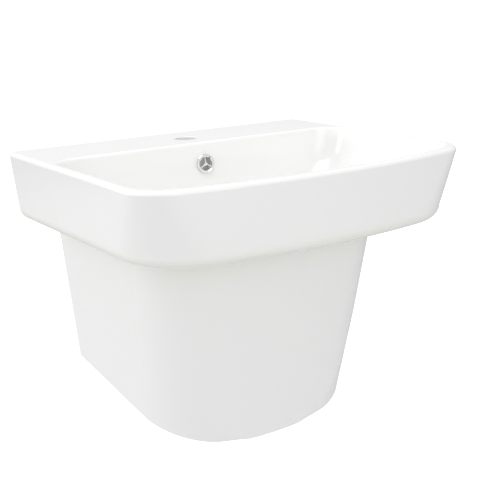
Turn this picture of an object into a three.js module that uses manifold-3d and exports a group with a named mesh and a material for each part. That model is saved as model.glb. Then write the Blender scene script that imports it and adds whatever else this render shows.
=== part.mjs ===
// Wall-hung washbasin with its half pedestal in one casting, with its waste, trap and wall fixings.
// Millimetres, +Z up. The wall is the plane y = 0 and the basin's front looks towards -Y.
// The origin lies on the wall, midway between the two hanger bolts.
import * as THREE from 'three';
import { mergeVertices } from 'three/addons/utils/BufferGeometryUtils.js';
import Module from 'manifold-3d';

const wasm = await Module();
wasm.setup();

// ---------------------------------------------------------------- driving dimensions
const WIDTH = 500;
const DEPTH = 450;
const HEIGHT = 410;
const RIM_Z = 75; // rim above the hanger bolts
const BOTTOM_Z = RIM_Z - HEIGHT;
const GAP = 0.3; // clearance between pieces that rest on each other

// basin block, outside
const APRON_HEIGHT = 99; // outer wall, rim to underside
const APRON_SIDE_LEAN = 5; // the outer wall leans in this much at the sides, and more at the front
const APRON_FRONT_LEAN = 8;
const FRONT_BOW_RADIUS = 950;
const RIM_CORNER_RADIUS = 58;
const APRON_FOOT_CORNER = 104;
const REAR_CORNER_RADIUS = 9;
const RIM_EDGE_RADIUS = 6;
const UNDERSIDE_Z = RIM_Z - APRON_HEIGHT;
const LOWER_EDGE_RADIUS = 18;

// half pedestal, outside
const SHROUD_TOP_HALF = 188;
const SHROUD_TOP_DEPTH = 346;
const SHROUD_FOOT_HALF = 177;
const SHROUD_FOOT_DEPTH = 284;
const SHROUD_FILLET = 30;
const SHROUD_TOP_CORNER = 95;
const SHROUD_FOOT_CORNER = 93;
const SHROUD_TOP_BOW = 570;
const SHROUD_FOOT_BOW = 600;
const SHROUD_FOOT_TAPER = THREE.MathUtils.degToRad(3.2); // the sides close in towards the front
const FOOT_RISE = 83; // the foot's edge curves up this much from the front to the wall
const FOOT_RISE_POWER = 0.6;
const FOOT_EDGE_RADIUS = 4;
const FOOT_EDGE_INSET = 2.4;

// casting
const CAST_WALL = 10;
const BACK_WALL = 15;
const DECK_THICKNESS = 14;
const BACK_WALL_BOTTOM_Z = UNDERSIDE_Z - 20;

// bowl
const RIM_WIDTH = 14;
const RIM_INNER_RADIUS = 5;
const DECK_DEPTH = 122; // flat deck between the wall and the bowl
const BOWL_DEPTH = 104;
const BOWL_FRONT_CORNER = 50;
const BOWL_REAR_CORNER = 40;
const BOWL_SKIN = 9;
const BOWL_FULLNESS = 3; // superellipse power of the bowl's section
const BOWL_LEAN = 0.07; // share by which the bowl's wall leans in
const BOWL_RINGS = 11;
const DRAIN_Y = -228;
const DRAIN_BORE = 23;
const DRAIN_RECESS_RADIUS = 33;
const DRAIN_RECESS = 5;
const BOSS_RADIUS = 40;
const BOSS_DROP = 43; // bowl floor to the boss's underside
const TAP_HOLE_RADIUS = 17.5;
const TAP_HOLE_Y = -70;
const FLOOR_Z = RIM_Z - BOWL_DEPTH;
const BOSS_Z = FLOOR_Z - BOSS_DROP;

// overflow
const OVERFLOW_DROP = 32; // centre of the overflow hole below the rim
const OVERFLOW_BORE = 11;
const DUCT_WIDTH = 40;
const DUCT_DEPTH = 11;
const DUCT_WALL = 7;

// wall fixings
const BOLT_HALF_SPACING = 100;
const BOLT_BORE = 9;
const BOLT_RADIUS = 5;

// waste, measured along the drain's axis
const FLANGE_RADIUS = 32;
const TAIL_RADIUS = 21;
const TAIL_INNER = 17.5;
const TAIL_END_Z = -150;
const PLUG_TRAVEL = 9;

// bottle trap
const PIPE_RADIUS = 16;
const PIPE_INNER = 14.6;
const OUTLET_Z = -222;
const HEAD_RADIUS = 27;
const HEAD_TOP_Z = OUTLET_Z + 24;
const HEAD_BOTTOM_Z = OUTLET_Z - 34;
const CUP_RADIUS = 31;
const CUP_BOTTOM_Z = -304;
const DIP_END_Z = -282;
const SPIGOT_END = 48; // end of the side outlet from the trap's axis

// ---------------------------------------------------------------- materials
function finish(color, roughness, metalness) {
  return new THREE.MeshStandardMaterial({ color, roughness, metalness });
}
const glaze = finish(0xf4f3ef, 0.08, 0);
const chrome = finish(0xd9dadc, 0.08, 1);
const brass = finish(0xc8a24c, 0.3, 1);
const zinc = finish(0xb9bcc0, 0.35, 1);
const spring = finish(0x9a9ca0, 0.3, 1);
const rubber = finish(0x202020, 0.8, 0);
const nylon = finish(0xe8e6df, 0.45, 0);

// ---------------------------------------------------------------- solids
const root = new THREE.Group();

function solidOf(geometry) {
  const bare = geometry.clone();
  bare.deleteAttribute('normal');
  bare.deleteAttribute('uv');
  const merged = mergeVertices(bare, 1e-4);
  return new wasm.Manifold(new wasm.Mesh({
    numProp: 3,
    vertProperties: Float32Array.from(merged.attributes.position.array),
    triVerts: Uint32Array.from(merged.index.array),
  }));
}

function geometryOf(solid) {
  const mesh = solid.getMesh();
  const geometry = new THREE.BufferGeometry();
  geometry.setAttribute('position', new THREE.BufferAttribute(mesh.vertProperties, 3));
  geometry.setIndex(new THREE.BufferAttribute(mesh.triVerts, 1));
  geometry.computeVertexNormals();
  return geometry;
}

function add(name, geometry, material, x = 0, y = 0, z = 0) {
  const mesh = new THREE.Mesh(geometry, material);
  mesh.name = name;
  mesh.position.set(x, y, z);
  root.add(mesh);
  return mesh;
}

// A geometry moved and turned, as a solid for a join or a cut.
function placed(geometry, x, y, z, turnX = 0, turnZ = 0) {
  const moved = geometry.clone();
  moved.rotateX(turnX);
  moved.rotateZ(turnZ);
  moved.translate(x, y, z);
  return solidOf(moved);
}

// A solid of revolution about Z from [radius, z] points in order round the section.
function turned(points, segments = 32) {
  const profile = points.map(([radius, z]) => new THREE.Vector2(radius, z));
  if (THREE.ShapeUtils.area(profile) < 0) {
    profile.reverse();
  }
  profile.push(profile[0].clone());
  const geometry = new THREE.LatheGeometry(profile, segments);
  geometry.rotateX(Math.PI / 2);
  return geometry;
}

// A plain ring between two radii and two heights.
function ring(inner, outer, low, high, segments = 32) {
  return turned([[inner, low], [outer, low], [outer, high], [inner, high]], segments);
}

function column(radius, low, high, segments = 28) {
  const geometry = new THREE.CylinderGeometry(radius, radius, high - low, segments);
  geometry.rotateX(Math.PI / 2);
  geometry.translate(0, 0, (low + high) / 2);
  return geometry;
}

// ---------------------------------------------------------------- plan outlines
const FRONT_STEPS = 7;
const CORNER_STEPS = 7;
const REAR_STEPS = 3;

// Half width, depth, front corner, front bow, rear corner and rear line of a D-shaped outline
// whose sides close in towards the front by the taper's angle.
// The points run counter-clockwise from the front centre.
function planOutline({ half, depth, corner, bow, rear, back = 0, taper = 0 }) {
  const bowCentre = new THREE.Vector2(0, bow - depth);
  const rearCentre = new THREE.Vector2(half - rear, back - rear);
  const outward = new THREE.Vector2(Math.cos(taper), -Math.sin(taper));
  const reach = rearCentre.clone().sub(bowCentre).dot(outward) + rear - corner;
  const fall = Math.sqrt((bow - corner) ** 2 - reach ** 2);
  const cornerX = outward.x * reach + outward.y * fall;
  const cornerY = bowCentre.y + outward.y * reach - outward.x * fall;
  const touch = Math.atan2(cornerY - bowCentre.y, cornerX);
  const right = [];
  const arc = (x, y, radius, from, to, steps, first = 0) => {
    for (let i = first; i <= steps; i += 1) {
      const angle = from + (to - from) * i / steps;
      right.push(new THREE.Vector2(x + radius * Math.cos(angle), y + radius * Math.sin(angle)));
    }
  };
  arc(0, bowCentre.y, bow, -Math.PI / 2, touch, FRONT_STEPS);
  arc(cornerX, cornerY, corner, touch, -taper, CORNER_STEPS, 1);
  arc(rearCentre.x, rearCentre.y, rear, -taper, Math.PI / 2, REAR_STEPS);
  const left = right.slice(1).reverse().map((p) => new THREE.Vector2(-p.x, p.y));
  return [...right, ...left];
}

// An outline moved out by `by`, at the front and sides, and at the rear line by `behind`.
function grown(shape, by, behind = 0) {
  return {
    ...shape,
    half: shape.half + by,
    depth: shape.depth + by,
    corner: shape.corner + by,
    bow: shape.bow + by,
    rear: Math.max(shape.rear + behind, 2),
    back: (shape.back ?? 0) + behind,
  };
}

function between(a, b, t) {
  const shape = {};
  for (const key of ['half', 'depth', 'corner', 'bow', 'rear', 'back', 'taper']) {
    shape[key] = THREE.MathUtils.lerp(a[key] ?? 0, b[key] ?? 0, t);
  }
  return shape;
}

function level(shape, z) {
  return planOutline(shape).map((p) => new THREE.Vector3(p.x, p.y, z));
}

// The cap of an outline in strips between its right side and its left.
function capTriangles(count) {
  const triangles = [[0, 1, count - 1]];
  for (let i = 1; i < (count - 1) / 2; i += 1) {
    triangles.push([i, i + 1, count - i - 1], [i, count - i - 1, count - i]);
  }
  return triangles;
}

// A closed skin over rings of equal point count, from the lowest to the highest.
function loft(rings) {
  const count = rings[0].length;
  const positions = rings.flat().flatMap((p) => [p.x, p.y, p.z]);
  const faces = [];
  for (let i = 0; i + 1 < rings.length; i += 1) {
    for (let j = 0; j < count; j += 1) {
      const next = (j + 1) % count;
      const a = i * count + j;
      const b = i * count + next;
      faces.push(a, b, b + count, a, b + count, a + count);
    }
  }
  const top = (rings.length - 1) * count;
  for (const [a, b, c] of capTriangles(count)) {
    faces.push(a, c, b, top + a, top + b, top + c);
  }
  const geometry = new THREE.BufferGeometry();
  geometry.setAttribute('position', new THREE.Float32BufferAttribute(positions, 3));
  geometry.setIndex(faces);
  return geometry;
}

// ---------------------------------------------------------------- shapes of the casting
const RIM_SHAPE = {
  half: WIDTH / 2, depth: DEPTH, corner: RIM_CORNER_RADIUS, bow: FRONT_BOW_RADIUS, rear: REAR_CORNER_RADIUS,
};
const APRON_FOOT_SHAPE = {
  ...RIM_SHAPE,
  half: WIDTH / 2 - APRON_SIDE_LEAN,
  depth: DEPTH - APRON_FRONT_LEAN,
  corner: APRON_FOOT_CORNER,
};
const SHROUD_TOP_SHAPE = {
  half: SHROUD_TOP_HALF,
  depth: SHROUD_TOP_DEPTH,
  corner: SHROUD_TOP_CORNER,
  bow: SHROUD_TOP_BOW,
  rear: 6,
};
const SHROUD_FOOT_SHAPE = {
  half: SHROUD_FOOT_HALF,
  depth: SHROUD_FOOT_DEPTH,
  corner: SHROUD_FOOT_CORNER,
  bow: SHROUD_FOOT_BOW,
  rear: 6,
  taper: SHROUD_FOOT_TAPER,
};
const BOWL_SHAPE = {
  half: WIDTH / 2 - RIM_WIDTH,
  depth: DEPTH - RIM_WIDTH,
  corner: BOWL_FRONT_CORNER,
  bow: FRONT_BOW_RADIUS - RIM_WIDTH,
  rear: BOWL_REAR_CORNER,
  back: -DECK_DEPTH,
};

// Height of the foot's edge at depth y.
function footZ(y, lift = 0) {
  const fromFront = Math.max(0, 1 + y / (SHROUD_FOOT_DEPTH - FOOT_EDGE_INSET));
  return BOTTOM_Z + lift + FOOT_RISE * fromFront ** FOOT_RISE_POWER;
}

// Rings of the pedestal from the foot up to topZ; inset makes the inner skin.
function shroudRings(inset, behind, topZ, steps) {
  const foot = grown(SHROUD_FOOT_SHAPE, -inset, behind);
  const head = grown(SHROUD_TOP_SHAPE, -inset, behind);
  const rings = [];
  for (let i = 0; i <= steps; i += 1) {
    const t = i / steps;
    const outline = planOutline(between(foot, head, t));
    rings.push(outline.map((p) => new THREE.Vector3(
      p.x,
      p.y,
      THREE.MathUtils.lerp(footZ(p.y, FOOT_EDGE_RADIUS), topZ, t),
    )));
  }
  return rings;
}

function outerSkin() {
  const rings = [];
  const foot = planOutline(grown(SHROUD_FOOT_SHAPE, -FOOT_EDGE_INSET));
  rings.push(foot.map((p) => new THREE.Vector3(p.x, p.y, footZ(p.y))));
  rings.push(...shroudRings(0, 0, UNDERSIDE_Z - SHROUD_FILLET, 7));
  for (let i = 1; i <= 5; i += 1) {
    const turn = i / 5 * Math.PI / 2;
    const out = SHROUD_FILLET * (1 - Math.cos(turn));
    rings.push(level(grown(SHROUD_TOP_SHAPE, out), UNDERSIDE_Z - SHROUD_FILLET * (1 - Math.sin(turn))));
  }
  for (let i = 0; i <= 3; i += 1) {
    const turn = i / 3 * Math.PI / 2;
    const out = LOWER_EDGE_RADIUS * (Math.sin(turn) - 1);
    rings.push(level(grown(APRON_FOOT_SHAPE, out), UNDERSIDE_Z + 0.2 + LOWER_EDGE_RADIUS * (1 - Math.cos(turn))));
  }
  const low = UNDERSIDE_Z + LOWER_EDGE_RADIUS;
  const high = RIM_Z - RIM_EDGE_RADIUS;
  for (let i = 1; i <= 4; i += 1) {
    rings.push(level(between(APRON_FOOT_SHAPE, RIM_SHAPE, i / 4), THREE.MathUtils.lerp(low, high, i / 4)));
  }
  for (let i = 1; i <= 3; i += 1) {
    const turn = i / 3 * Math.PI / 2;
    const inward = RIM_EDGE_RADIUS * (1 - Math.cos(turn));
    rings.push(level(grown(RIM_SHAPE, -inward, -inward / 3), high + RIM_EDGE_RADIUS * Math.sin(turn)));
  }
  return loft(rings);
}

// The bowl's hollow, or its outer skin when `skin` is more than 0, from the floor up past the rim.
function bowlForm(skin) {
  const shape = grown(BOWL_SHAPE, skin, skin);
  const depth = BOWL_DEPTH + skin;
  const centre = new THREE.Vector2(0, DRAIN_Y);
  const rings = [];
  for (let i = 0; i < BOWL_RINGS; i += 1) {
    const turn = (1 - (i + 1) / (BOWL_RINGS + 1)) * Math.PI / 2;
    const fall = Math.sin(turn) ** (2 / BOWL_FULLNESS);
    const reach = Math.cos(turn) ** (2 / BOWL_FULLNESS) * (1 - BOWL_LEAN * fall);
    rings.push(planOutline(shape).map((p) => {
      const q = p.clone().sub(centre).multiplyScalar(reach).add(centre);
      return new THREE.Vector3(q.x, q.y, RIM_Z - depth * fall);
    }));
  }
  if (skin > 0) {
    rings.push(level(shape, RIM_Z - 8));
  } else {
    rings.push(level(shape, RIM_Z - RIM_INNER_RADIUS));
    for (let i = 1; i <= 3; i += 1) {
      const turn = i / 3 * Math.PI / 2;
      const out = RIM_INNER_RADIUS * (1 - Math.cos(turn));
      const z = RIM_Z - RIM_INNER_RADIUS * (1 - Math.sin(turn));
      rings.push(level(grown(shape, out, out), z));
    }
    rings.push(level(grown(shape, RIM_INNER_RADIUS, RIM_INNER_RADIUS), RIM_Z + 5));
  }
  return solidOf(loft(rings));
}

// y of the bowl's back wall on the centre line at height z.
function bowlBackY(z) {
  const fall = (RIM_Z - z) / BOWL_DEPTH;
  const reach = (1 - fall ** BOWL_FULLNESS) ** (1 / BOWL_FULLNESS) * (1 - BOWL_LEAN * fall);
  return DRAIN_Y + (-DECK_DEPTH - DRAIN_Y) * reach;
}

// The overflow duct runs down behind the bowl and forward under its floor into the drain bore.
function ductForm(wall) {
  const back = -DECK_DEPTH + BOWL_SKIN + DUCT_DEPTH;
  const route = new THREE.CatmullRomCurve3([
    new THREE.Vector3(0, back, RIM_Z - DECK_THICKNESS - 1 + wall / 2),
    new THREE.Vector3(0, back, 10),
    new THREE.Vector3(0, back - 14, -38),
    new THREE.Vector3(0, back - 48, -70),
    new THREE.Vector3(0, back - 86, FLOOR_Z - 27),
    new THREE.Vector3(0, DRAIN_Y + DRAIN_BORE - 4 + wall * 1.5, FLOOR_Z - 27),
  ]);
  const w = DUCT_WIDTH / 2 + wall;
  const d = DUCT_DEPTH / 2 + wall;
  const section = new THREE.Shape([
    new THREE.Vector2(-w, -d + 3), new THREE.Vector2(-w + 3, -d), new THREE.Vector2(w - 3, -d),
    new THREE.Vector2(w, -d + 3), new THREE.Vector2(w, d - 3), new THREE.Vector2(w - 3, d),
    new THREE.Vector2(-w + 3, d), new THREE.Vector2(-w, d - 3),
  ]);
  return solidOf(new THREE.ExtrudeGeometry(section, { steps: 14, bevelEnabled: false, extrudePath: route }));
}

function castingHollow() {
  const lower = shroudRings(CAST_WALL, 20, UNDERSIDE_Z + CAST_WALL + 2, 5);
  lower.unshift(lower[0].map((p) => new THREE.Vector3(p.x, p.y, p.z - FOOT_RISE - 20)));
  const shaft = solidOf(loft(lower));
  const backWall = new THREE.BoxGeometry(WIDTH, 60, RIM_Z - BACK_WALL_BOTTOM_Z);
  const behind = placed(backWall, 0, 30 - BACK_WALL, (RIM_Z + BACK_WALL_BOTTOM_Z) / 2);
  const innerFoot = grown(APRON_FOOT_SHAPE, -CAST_WALL, -BACK_WALL);
  const innerTop = grown(RIM_SHAPE, -CAST_WALL, -BACK_WALL);
  innerFoot.rear = 4;
  innerTop.rear = 4;
  const chamber = solidOf(loft([
    level(innerFoot, UNDERSIDE_Z + CAST_WALL),
    level(innerTop, RIM_Z - DECK_THICKNESS),
  ]));
  const boss = placed(column(BOSS_RADIUS, BOSS_Z, FLOOR_Z - 2, 48), 0, DRAIN_Y, 0);
  return shaft.subtract(behind).add(chamber)
    .subtract(bowlForm(BOWL_SKIN)).subtract(boss).subtract(ductForm(DUCT_WALL));
}

function ceramicBody() {
  let body = solidOf(outerSkin()).subtract(castingHollow()).subtract(bowlForm(0));
  const cuts = [
    placed(column(DRAIN_BORE, BOSS_Z - 5, FLOOR_Z + 3, 40), 0, DRAIN_Y, 0),
    placed(column(DRAIN_RECESS_RADIUS, FLOOR_Z - DRAIN_RECESS, FLOOR_Z + 6, 40), 0, DRAIN_Y, 0),
    placed(column(TAP_HOLE_RADIUS, RIM_Z - DECK_THICKNESS - 5, RIM_Z + 5, 40), 0, TAP_HOLE_Y, 0),
    placed(column(OVERFLOW_BORE, -1, 24, 28), 0, -DECK_DEPTH + BOWL_SKIN + 2, RIM_Z - OVERFLOW_DROP, Math.PI / 2),
    ductForm(0),
  ];
  for (const side of [-1, 1]) {
    cuts.push(placed(column(BOLT_BORE, -5, BACK_WALL + 5, 28), side * BOLT_HALF_SPACING, 0, 0, Math.PI / 2));
  }
  for (const cut of cuts) {
    body = body.subtract(cut);
  }
  add('ceramic_body', geometryOf(body), glaze);
}

// ---------------------------------------------------------------- overflow trim
// A flanged sleeve with a grid of three straight spokes on a round hub, along the hole's axis.
function overflowRing() {
  const z = RIM_Z - OVERFLOW_DROP;
  const face = bowlBackY(z);
  const lean = Math.atan((bowlBackY(z + 1) - bowlBackY(z - 1)) / 2);
  const flange = turned([[9.4, -0.2], [9.4, -5], [OVERFLOW_BORE - 0.8, -5], [OVERFLOW_BORE - 0.8, 0],
    [14.4, 0], [14.6, 0.8], [13.4, 2.4], [11.4, 2.4], [10, 1.4]], 28);
  let trim = solidOf(flange);
  trim = trim.add(placed(column(2.6, -1.4, 1.4, 16), 0, 0, 0));
  for (let i = 0; i < 3; i += 1) {
    const spoke = new THREE.BoxGeometry(1.9, 9.4, 2.2);
    spoke.translate(0, 5.2, -0.1);
    trim = trim.add(placed(spoke, 0, 0, 0, 0, i * Math.PI * 2 / 3));
  }
  const mesh = add('overflow_ring', geometryOf(trim), chrome, 0, face - 1.1, z);
  mesh.rotation.x = Math.PI / 2 - lean;
}

// ---------------------------------------------------------------- waste
const SEAT_Z = FLOOR_Z - DRAIN_RECESS;
const FLANGE_Z = SEAT_Z + 2 + 2 * GAP; // underside of the flange
const FLANGE_TOP_Z = FLANGE_Z + 3;

function wasteBody() {
  const outline = [[TAIL_INNER, TAIL_END_Z], [TAIL_RADIUS - 1, TAIL_END_Z], [TAIL_RADIUS, TAIL_END_Z + 1],
    [TAIL_RADIUS, FLANGE_Z], [FLANGE_RADIUS - 0.6, FLANGE_Z], [FLANGE_RADIUS, FLANGE_Z + 0.8],
    [FLANGE_RADIUS - 1.5, FLANGE_TOP_Z - 0.4], [FLANGE_RADIUS - 4, FLANGE_TOP_Z],
    [TAIL_INNER + 3, FLANGE_TOP_Z], [TAIL_INNER, FLANGE_TOP_Z - 4]];
  let body = solidOf(turned(outline, 36));
  const slot = new THREE.BoxGeometry(TAIL_RADIUS * 3, 13, 14);
  for (const turn of [Math.PI / 6, Math.PI / 2, 5 * Math.PI / 6]) {
    body = body.subtract(placed(slot, 0, 0, FLOOR_Z - 27, 0, turn));
  }
  add('waste_body', geometryOf(body), chrome, 0, DRAIN_Y, 0);
}

function wasteSeals() {
  add('flange_seal', ring(TAIL_RADIUS + 1, FLANGE_RADIUS - 2, SEAT_Z + GAP, SEAT_Z + GAP + 2), rubber, 0, DRAIN_Y, 0);
  const gasketTop = BOSS_Z - GAP;
  add('lower_gasket', turned([[TAIL_RADIUS + GAP, gasketTop - 9], [29, gasketTop - 9], [34, gasketTop - 5],
    [34, gasketTop], [TAIL_RADIUS + GAP, gasketTop]]), rubber, 0, DRAIN_Y, 0);
  const washerTop = gasketTop - 9 - GAP;
  add('slip_washer', ring(TAIL_RADIUS + GAP, 31, washerTop - 1.8, washerTop), nylon, 0, DRAIN_Y, 0);
  return washerTop - 1.8 - GAP;
}

// A nut with flats, bored, its top at `top`.
function hexNut(acrossFlats, bore, height, top) {
  const hex = column(acrossFlats / Math.sqrt(3), top - height, top, 6);
  const hole = placed(column(bore, top - height - 1, top + 1), 0, 0, 0);
  return geometryOf(solidOf(hex).subtract(hole));
}

// A round nut with grip ribs, bored to `bore` below and to `neck` through its lip at the far end.
function ribbedNut(radius, bore, neck, low, high, lipLow) {
  const lip = 2.5;
  const section = lipLow
    ? [[neck, low], [radius, low], [radius, high], [bore, high], [bore, low + lip], [neck, low + lip]]
    : [[bore, low], [radius, low], [radius, high], [neck, high], [neck, high - lip], [bore, high - lip]];
  let nut = solidOf(turned(section, 24));
  const rib = new THREE.BoxGeometry(3, 2.6, high - low - 4);
  for (let i = 0; i < 12; i += 1) {
    const angle = i * Math.PI / 6;
    const x = radius * Math.cos(angle);
    const y = radius * Math.sin(angle);
    nut = nut.add(placed(rib, x, y, (low + high) / 2, 0, angle));
  }
  return geometryOf(nut);
}

// ---------------------------------------------------------------- pop-up plug
const CAP_LOW_Z = FLANGE_TOP_Z + GAP + PLUG_TRAVEL + 2.6; // underside of the raised cap
const CARTRIDGE_Z = FLOOR_Z - 46;
const STEM_COLLAR_Z = FLOOR_Z - 12;

function popUpPlug() {
  const cap = turned([[0, CAP_LOW_Z], [27, CAP_LOW_Z], [30.5, CAP_LOW_Z + 0.8], [31, CAP_LOW_Z + 2],
    [30, CAP_LOW_Z + 3.2], [22, CAP_LOW_Z + 5.2], [12, CAP_LOW_Z + 6.2], [0, CAP_LOW_Z + 6.6]], 36);
  add('plug_cap', cap, chrome, 0, DRAIN_Y, 0);
  add('plug_seal', turned([[18.5, CAP_LOW_Z - GAP - 2.3], [23.5, CAP_LOW_Z - GAP - 2.3],
    [25.5, CAP_LOW_Z - GAP], [18.5, CAP_LOW_Z - GAP]]), rubber, 0, DRAIN_Y, 0);
  const top = CAP_LOW_Z - GAP;
  add('plug_stem', turned([[0, CARTRIDGE_Z - 8], [3.2, CARTRIDGE_Z - 8], [3.8, CARTRIDGE_Z - 7],
    [3.8, STEM_COLLAR_Z], [8, STEM_COLLAR_Z], [8, STEM_COLLAR_Z + 2], [3.8, STEM_COLLAR_Z + 2],
    [3.8, top - 3], [10, top], [0, top]], 20), nylon, 0, DRAIN_Y, 0);
}

function clickCartridge() {
  const low = CARTRIDGE_Z;
  const high = CARTRIDGE_Z + 10;
  let body = solidOf(ring(14.4, TAIL_INNER - GAP, low, high, 24));
  body = body.add(solidOf(ring(4.1, 8, low - 4, high, 20)));
  for (let i = 0; i < 3; i += 1) {
    const arm = new THREE.BoxGeometry(8, 2.4, 8);
    const angle = i * Math.PI * 2 / 3;
    body = body.add(placed(arm, 11.2 * Math.cos(angle), 11.2 * Math.sin(angle), low + 4, 0, angle));
  }
  add('click_cartridge', geometryOf(body), nylon, 0, DRAIN_Y, 0);
}

// A coil spring round the stem, between the cartridge and the stem's collar.
class CoilCurve extends THREE.Curve {
  constructor(radius, length, turns) {
    super();
    Object.assign(this, { radius, length, turns });
  }

  getPoint(t, target = new THREE.Vector3()) {
    const angle = t * this.turns * Math.PI * 2;
    return target.set(this.radius * Math.cos(angle), this.radius * Math.sin(angle), t * this.length);
  }
}

function plugSpring() {
  const wire = 0.55;
  const low = CARTRIDGE_Z + 10 + GAP + wire;
  const high = STEM_COLLAR_Z - GAP - wire;
  const section = new THREE.Shape();
  section.absarc(0, 0, wire, 0, Math.PI * 2);
  const coil = new THREE.ExtrudeGeometry(section, {
    steps: 60, curveSegments: 3, bevelEnabled: false, extrudePath: new CoilCurve(5.6, high - low, 6),
  });
  add('plug_spring', coil, spring, 0, DRAIN_Y, low);
}

// ---------------------------------------------------------------- bottle trap
function trapInlet() {
  const washer = TAIL_END_Z - GAP;
  add('inlet_washer', ring(TAIL_INNER, TAIL_RADIUS - 0.6, washer - 2, washer), rubber, 0, DRAIN_Y, 0);
  const collar = washer - 2 - GAP;
  add('trap_inlet_tube', turned([[PIPE_INNER, DIP_END_Z], [PIPE_RADIUS, DIP_END_Z], [PIPE_RADIUS, collar - 3],
    [TAIL_RADIUS - 0.6, collar - 2], [TAIL_RADIUS - 0.6, collar], [PIPE_INNER, collar]]), chrome, 0, DRAIN_Y, 0);
  const nutLow = collar - 3 - 2.5 - GAP * 2;
  add('inlet_nut', ribbedNut(25, TAIL_RADIUS + GAP, PIPE_RADIUS + GAP, nutLow, nutLow + 22, true), chrome,
    0, DRAIN_Y, 0);
}

function trapHead() {
  const section = [[PIPE_RADIUS + GAP, HEAD_TOP_Z], [PIPE_RADIUS + GAP, HEAD_TOP_Z - 4],
    [HEAD_RADIUS - 3, HEAD_TOP_Z - 6], [HEAD_RADIUS - 3, HEAD_BOTTOM_Z], [HEAD_RADIUS, HEAD_BOTTOM_Z],
    [HEAD_RADIUS, HEAD_TOP_Z - 4], [HEAD_RADIUS - 4, HEAD_TOP_Z]];
  const spigot = placed(column(20, HEAD_RADIUS - 6, SPIGOT_END, 32), 0, 0, OUTLET_Z, -Math.PI / 2);
  const bore = placed(column(PIPE_RADIUS + GAP, 15, SPIGOT_END + 1, 32), 0, 0, OUTLET_Z, -Math.PI / 2);
  const chamber = placed(column(HEAD_RADIUS - 3, HEAD_BOTTOM_Z - 1, HEAD_TOP_Z - 6, 40), 0, 0, 0);
  const body = solidOf(turned(section)).add(spigot.subtract(chamber)).subtract(bore);
  add('trap_body', geometryOf(body), chrome, 0, DRAIN_Y, 0);
}

function trapCup() {
  const lip = HEAD_BOTTOM_Z + 13;
  const inner = CUP_RADIUS - 3.4;
  add('trap_cup', turned([[0, CUP_BOTTOM_Z], [CUP_RADIUS - 8, CUP_BOTTOM_Z], [CUP_RADIUS - 2, CUP_BOTTOM_Z + 3],
    [CUP_RADIUS, CUP_BOTTOM_Z + 9], [CUP_RADIUS, lip], [inner, lip], [inner, HEAD_BOTTOM_Z - 3],
    [inner - 3, HEAD_BOTTOM_Z - 3], [inner - 3, CUP_BOTTOM_Z + 10], [CUP_RADIUS - 10, CUP_BOTTOM_Z + 3.5],
    [0, CUP_BOTTOM_Z + 3]], 32), chrome, 0, DRAIN_Y, 0);
  const seal = HEAD_BOTTOM_Z - GAP;
  add('cup_seal', ring(inner - 3 + GAP, inner - GAP, seal - 2.1, seal), rubber, 0, DRAIN_Y, 0);
}

// Pieces on the horizontal outlet are turned about Z and laid along +Y.
function laid(name, geometry, material, y) {
  const mesh = add(name, geometry, material, 0, y, OUTLET_Z);
  mesh.rotation.x = -Math.PI / 2;
}

function trapOutlet() {
  const spigotEnd = DRAIN_Y + SPIGOT_END;
  const pipeStart = spigotEnd - 16;
  laid('outlet_pipe', ring(PIPE_INNER, PIPE_RADIUS, 0, -pipeStart), chrome, pipeStart);
  laid('outlet_washer', turned([[PIPE_RADIUS + GAP, 0], [20, 0], [18.5, 4], [PIPE_RADIUS + GAP, 4]]), rubber,
    spigotEnd + GAP);
  laid('outlet_nut', ribbedNut(24, 20 + GAP, PIPE_RADIUS + GAP, 0, 20, false), chrome, spigotEnd - 12.6);
  const rosette = turned([[PIPE_RADIUS + GAP, 0], [PIPE_RADIUS + 3, 0], [PIPE_RADIUS + 5, 5], [36, 11],
    [37, 13], [33, 13], [PIPE_RADIUS + 3, 8], [PIPE_RADIUS + GAP, 8]], 36);
  laid('wall_rosette', rosette, chrome, -13.4);
}

// ---------------------------------------------------------------- wall fixings
function wallFixings() {
  for (const [side, x] of [['left', -BOLT_HALF_SPACING], ['right', BOLT_HALF_SPACING]]) {
    const away = (name, geometry, material, y) => {
      const mesh = add(`${name}_${side}`, geometry, material, x, y, 0);
      mesh.rotation.x = Math.PI / 2;
    };
    const seat = -BACK_WALL - GAP;
    away('hanger_bolt', turned([[0, 0], [BOLT_RADIUS, 0], [BOLT_RADIUS, 39], [BOLT_RADIUS - 1, 40],
      [0, 40]], 18), zinc, 0);
    away('bolt_sleeve', turned([[BOLT_RADIUS + GAP, -BACK_WALL + 2], [BOLT_BORE - GAP, -BACK_WALL + 2],
      [BOLT_BORE - GAP, 0], [15, 0], [15, 3], [BOLT_RADIUS + GAP, 3]], 24), nylon, seat);
    away('bolt_washer', ring(BOLT_RADIUS + GAP, 13, 0, 2, 24), zinc, seat - 3 - GAP);
    away('bolt_nut', hexNut(17, BOLT_RADIUS + GAP, 8, 8), zinc, seat - 5 - 2 * GAP);
    away('bolt_cap', turned([[0, 22], [10, 22], [12.4, 18], [13, 0], [11.4, 0], [10.6, 17.5], [9, 20],
      [0, 20]], 20), nylon, seat - 5 - 3 * GAP);
  }
}

// ---------------------------------------------------------------- assembly
ceramicBody();
overflowRing();
wasteBody();
const nutTop = wasteSeals();
add('waste_backnut', hexNut(56, TAIL_RADIUS + GAP, 11, nutTop), brass, 0, DRAIN_Y, 0);
popUpPlug();
clickCartridge();
plugSpring();
trapInlet();
trapHead();
trapCup();
trapOutlet();
wallFixings();

export default root;
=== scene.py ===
"""Looks of the wall-hung washbasin with its half pedestal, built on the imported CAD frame.

The shapes below are written in millimetres in the CAD frame (wall at y = 0, front towards -Y,
+Z up) and turned into metres when a mesh is made.
"""

import math

import bmesh
import bpy
from mathutils import Euler, Matrix, Vector


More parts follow.
